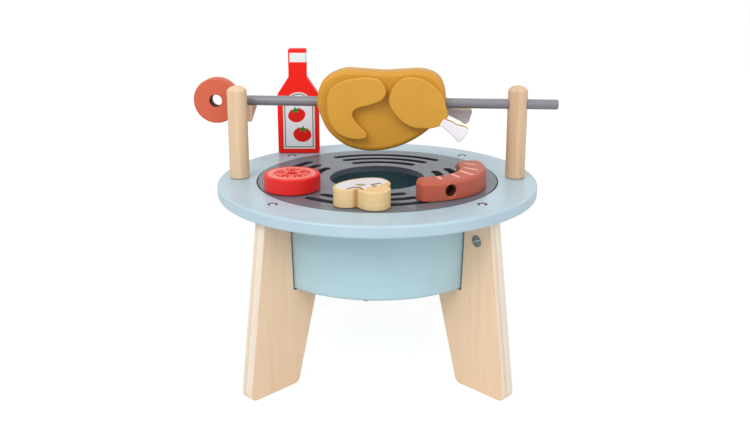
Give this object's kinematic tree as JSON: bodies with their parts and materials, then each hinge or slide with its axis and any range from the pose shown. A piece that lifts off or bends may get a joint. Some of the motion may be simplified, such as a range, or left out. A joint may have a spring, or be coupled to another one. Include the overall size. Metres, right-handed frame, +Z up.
{
  "type": "toy barbecue grill",
  "caption": "Wooden toy barbecue: round table on legs around a bowl, with a slotted grate, a chicken on a turning spit, loose play food and a sauce bottle.",
  "frame": {"origin": "on the floor, under the middle of the whole width, on the table's axis from front to back", "axes": "+Z up; the front, with the loose food, faces -Y; +X to the viewer's right, along the spit's longer reach"},
  "size_m": [0.2982, 0.26, 0.244],
  "materials": {
    "blue_paint": "pale blue satin paint",
    "bowl_floor_paint": "blue satin paint",
    "grey_paint": "warm grey semi-gloss paint",
    "birch_plywood": "clear-coated birch plywood with pale edges",
    "beech": "clear-coated beech",
    "zinc_steel": "zinc-plated steel",
    "terracotta_paint": "terracotta satin paint",
    "mustard_paint": "mustard satin paint",
    "red_paint": "red satin paint with a printed face",
    "cream_wood": "clear-coated pale wood with a printed top",
    "sausage_paint": "brown-red satin paint with darker stripes"
  },
  "bodies": {
    "table": {"tabletop_ring": "blue_paint", "bowl_wall": "blue_paint", "bowl_floor": "bowl_floor_paint", "floor_screw_1": "zinc_steel", "floor_screw_2": "zinc_steel", "floor_screw_3": "zinc_steel", "floor_screw_4": "zinc_steel", "leg_front_left": "birch_plywood", "leg_front_right": "birch_plywood", "leg_rear_left": "birch_plywood", "leg_rear_right": "birch_plywood", "leg_bolt_front_left": "zinc_steel", "leg_bolt_front_right": "zinc_steel", "leg_bolt_rear_left": "zinc_steel", "leg_bolt_rear_right": "zinc_steel", "cross_nut_front_left": "zinc_steel", "cross_nut_front_right": "zinc_steel", "cross_nut_rear_left": "zinc_steel", "cross_nut_rear_right": "zinc_steel", "post_left": "beech", "post_right": "beech", "post_screw_left": "zinc_steel", "post_screw_right": "zinc_steel", "rod_hook": "beech"},
    "spit": {"spit_rod": "grey_paint", "spit_handle": "terracotta_paint"},
    "chicken": {"chicken_body": "mustard_paint", "chicken_wing_front": "mustard_paint", "chicken_wing_rear": "mustard_paint", "chicken_drumstick_front": "mustard_paint", "chicken_drumstick_rear": "mustard_paint"},
    "grate": {"grill_plate": "grey_paint"},
    "tomato": {"tomato_slice": "red_paint"},
    "mushroom_piece": {"mushroom": "cream_wood"},
    "sausage_piece": {"sausage": "sausage_paint"},
    "bottle": {"sauce_bottle": "red_paint"}
  },
  "joints": [
    {"name": "spit_turn", "type": "hinge", "parent": "table", "child": "spit", "pos_m": [0.11619, 0, 0.2092], "axis": [0.9966, -0.082, 0], "continuous": true},
    {"name": "chicken_slide", "type": "slide", "parent": "spit", "child": "chicken", "axis": [0.9966, -0.082, 0], "range_m": [-0.049, 0.023]},
    {"name": "grate_lift", "type": "slide", "parent": "table", "child": "grate", "axis": [0, 0, 1], "range_m": [0, 0.01]},
    {"name": "tomato_lift", "type": "slide", "parent": "grate", "child": "tomato", "axis": [0, -0.8, 0.6], "range_m": [0, 0.06]},
    {"name": "mushroom_lift", "type": "slide", "parent": "grate", "child": "mushroom_piece", "axis": [0, -0.8, 0.6], "range_m": [0, 0.06]},
    {"name": "sausage_lift", "type": "slide", "parent": "grate", "child": "sausage_piece", "axis": [0, -0.8, 0.6], "range_m": [0, 0.06]},
    {"name": "bottle_lift", "type": "slide", "parent": "table", "child": "bottle", "axis": [0, 0, 1], "range_m": [0, 0.05]}
  ]
}
